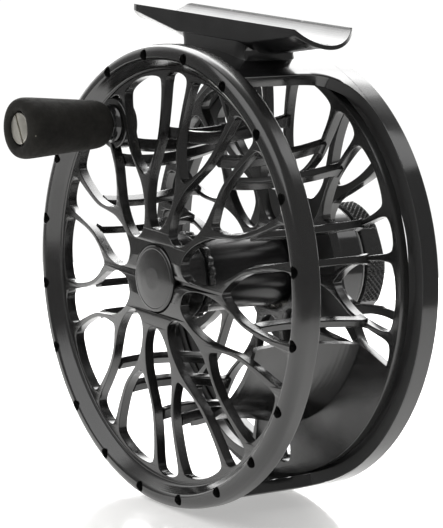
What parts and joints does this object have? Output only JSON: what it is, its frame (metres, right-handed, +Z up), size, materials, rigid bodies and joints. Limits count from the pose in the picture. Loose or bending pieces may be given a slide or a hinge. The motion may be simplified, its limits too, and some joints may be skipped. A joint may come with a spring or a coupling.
{
  "type": "fly fishing reel",
  "caption": "Large-arbor fly reel with a veined see-through spool, crank handle, open half frame, rear drag knob and a grooved foot for a rod's reel seat.",
  "frame": {"origin": "middle of the reel foot's trough, on its lowest line, where the rod's reel seat bears", "axes": "+Z up, out of the foot's seat; +Y along the spindle to the drag knob at the back, so the handle faces -Y; +X to the right seen from the handle's side, along the foot"},
  "size_m": [0.1, 0.0729, 0.106],
  "materials": {
    "anodised_black": "satin black anodised",
    "gloss_black": "polished black anodised",
    "knob_black": "black anodised, knurled",
    "drive_black": "black anodised, toothed",
    "grip_black": "matte, finely pitted",
    "steel": "turned stainless steel",
    "bronze": "turned bearing bronze",
    "carbon": "woven carbon friction disc",
    "washer_grey": "pale grey nylon"
  },
  "bodies": {
    "frame_body": {"frame": "gloss_black", "reel_foot": "anodised_black", "foot_screw_left": "steel", "foot_screw_right": "steel", "spindle": "steel", "hub_spacer": "steel", "pressure_plate": "steel", "carbon_disc_1": "carbon", "carbon_disc_2": "carbon", "carbon_disc_3": "carbon", "thrust_spring": "steel", "chamber_cover": "steel", "detent_spring": "steel", "detent_ball": "steel", "knob_washer": "washer_grey", "knob_screw": "steel", "pawl_pin": "steel", "pawl_spring": "steel"},
    "hub_body": {"drag_hub": "gloss_black", "drive_ring": "drive_black", "click_gear": "steel", "front_bearing": "steel", "rear_bearing": "steel", "one_way_clutch": "steel", "steel_disc_1": "steel", "steel_disc_2": "steel", "steel_disc_3": "steel"},
    "spool_body": {"spool_face": "anodised_black", "spool_back": "anodised_black", "cap_spring": "steel", "latch_ring": "steel", "handle_post": "steel", "handle_collar": "anodised_black", "handle_screw": "steel"},
    "handle_body": {"handle_grip": "grip_black", "handle_bushing_front": "bronze", "handle_bushing_back": "bronze"},
    "cap_body": {"release_cap": "anodised_black"},
    "knob_body": {"drag_knob": "knob_black"},
    "nut_body": {"drag_nut": "bronze"},
    "pawl_body": {"click_pawl": "steel"}
  },
  "joints": [
    {"name": "spool_spin", "type": "hinge", "parent": "frame_body", "child": "hub_body", "pos_m": [0, 0, -0.05265], "axis": [0, 1, 0], "continuous": true},
    {"name": "spool_removal", "type": "slide", "parent": "hub_body", "child": "spool_body", "axis": [0, -1, 0], "range_m": [0, 0.04]},
    {"name": "handle_spin", "type": "hinge", "parent": "spool_body", "child": "handle_body", "pos_m": [-0.02389, -0.029, -0.0224], "axis": [0, 1, 0], "continuous": true},
    {"name": "cap_push", "type": "slide", "parent": "spool_body", "child": "cap_body", "axis": [0, 1, 0], "range_m": [0, 0.001], "stiffness_N_per_m": 600},
    {"name": "drag_knob_turn", "type": "hinge", "parent": "frame_body", "child": "knob_body", "pos_m": [0, 0.0287, -0.05265], "axis": [0, 1, 0], "range_deg": [-330, 0]},
    {"name": "drag_nut_travel", "type": "slide", "parent": "frame_body", "child": "nut_body", "axis": [0, 1, 0], "range_m": [0, 0.0008]},
    {"name": "click_pawl_swing", "type": "hinge", "parent": "frame_body", "child": "pawl_body", "pos_m": [-0.01323, 0.0145, -0.05882], "axis": [0, 1, 0], "range_deg": [-12, 12], "stiffness_Nm_per_rad": 0.002}
  ],
  "couplings": [
    {"joint": "drag_knob_turn", "follows": "drag_nut_travel", "rad_per_m": -7190}
  ]
}
